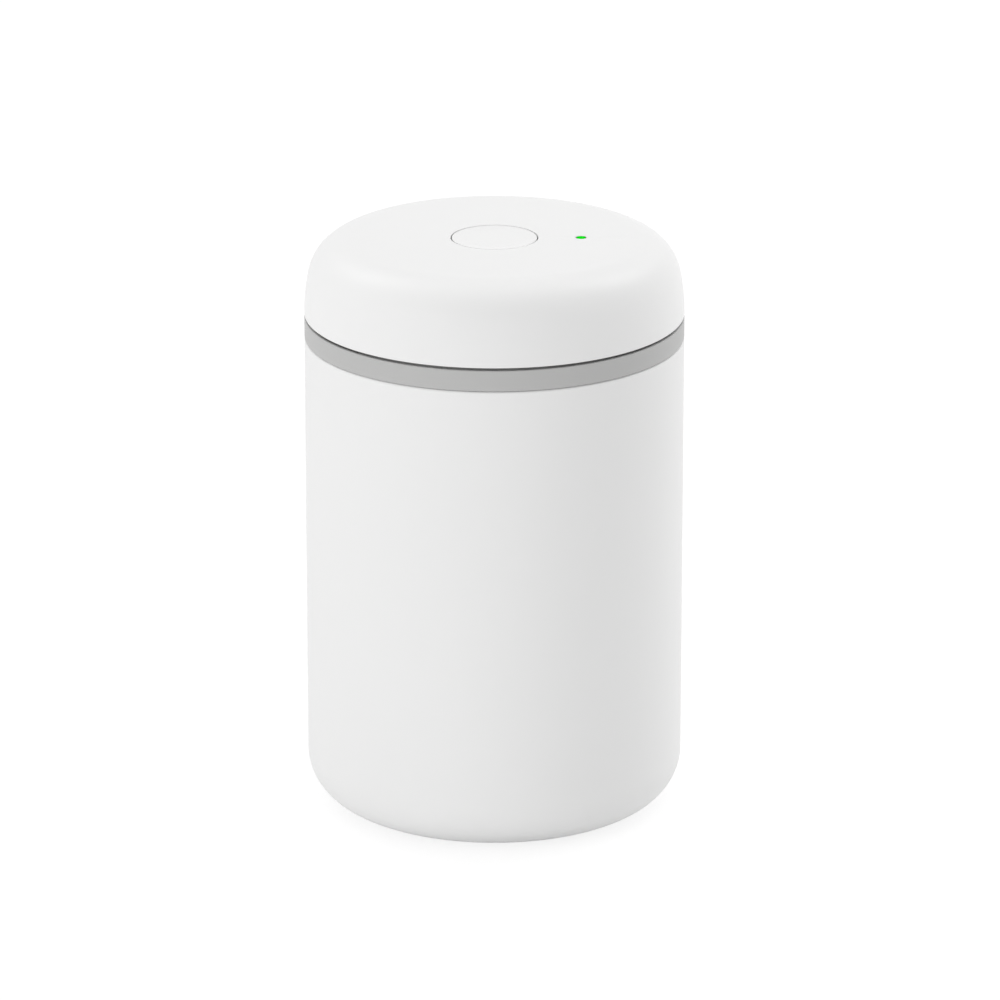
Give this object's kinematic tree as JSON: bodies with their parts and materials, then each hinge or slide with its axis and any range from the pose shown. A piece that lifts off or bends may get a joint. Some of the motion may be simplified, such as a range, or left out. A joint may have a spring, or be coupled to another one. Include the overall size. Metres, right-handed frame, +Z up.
{
  "type": "coffee canister",
  "caption": "Straight white steel coffee canister with a domed lid that twists to pump out air, a centre release button and a small vacuum indicator pin.",
  "frame": {"origin": "centre of the base pad's underside, where the canister stands", "axes": "+Z up along the canister's axis, +X towards the indicator pin beside the button"},
  "size_m": [0.122, 0.122, 0.1895],
  "materials": {
    "white_coat": "matte white powder coat",
    "grey_plastic": "matte light grey moulding",
    "white_plastic": "matte white moulding with a fine grain",
    "pump_plastic": "plain moulded plastic",
    "hard_plastic": "hard low friction plastic",
    "soft_seal": "translucent grey silicone",
    "foot_rubber": "soft grey silicone",
    "plated_steel": "bright plated steel",
    "green_plastic": "bright green moulding",
    "filter_felt": "fine white felt"
  },
  "bodies": {
    "canister": {"canister_shell": "white_coat", "base_pad": "foot_rubber"},
    "lid_base": {"lower_housing": "grey_plastic", "rim_gasket": "soft_seal", "cam_ring": "hard_plastic", "cam_ring_screws": "plated_steel", "thrust_washer": "hard_plastic", "filter_holder": "pump_plastic", "filter_disc": "filter_felt"},
    "cap": {"cap_shell": "white_plastic", "pump_body": "pump_plastic", "pump_body_screws": "plated_steel", "hub_o_ring": "soft_seal", "hub_snap_ring": "plated_steel", "inlet_flap": "soft_seal"},
    "piston": {"piston": "pump_plastic", "piston_outer_seal": "soft_seal", "piston_inner_seal": "soft_seal", "follower_pins": "plated_steel", "follower_sleeves": "hard_plastic", "outlet_flap": "soft_seal"},
    "button": {"button_cap": "white_plastic", "button_stem": "pump_plastic", "button_spring": "plated_steel", "release_valve": "hard_plastic", "release_valve_seal": "soft_seal"},
    "indicator": {"indicator_pin": "green_plastic", "indicator_seal": "soft_seal", "indicator_spring": "plated_steel"}
  },
  "joints": [
    {"name": "lid_lift", "type": "slide", "parent": "canister", "child": "lid_base", "axis": [0, 0, 1], "range_m": [0, 0.12]},
    {"name": "cap_twist", "type": "hinge", "parent": "lid_base", "child": "cap", "pos_m": [0, 0, 0.13], "axis": [0, 0, 1], "range_deg": [0, 75]},
    {"name": "piston_stroke", "type": "slide", "parent": "cap", "child": "piston", "axis": [0, 0, 1], "range_m": [0, 0.0092]},
    {"name": "button_press", "type": "slide", "parent": "cap", "child": "button", "axis": [0, 0, -1], "range_m": [0, 0.003], "stiffness_N_per_m": 300, "springref_m": -0.004, "deforming": ["button_spring"]},
    {"name": "indicator_drop", "type": "slide", "parent": "cap", "child": "indicator", "axis": [0, 0, -1], "range_m": [0, 0.002], "stiffness_N_per_m": 15, "springref_m": -0.004, "deforming": ["indicator_spring"]}
  ],
  "couplings": [
    {"joint": "piston_stroke", "follows": "cap_twist", "m_per_rad": 0.0068755}
  ]
}
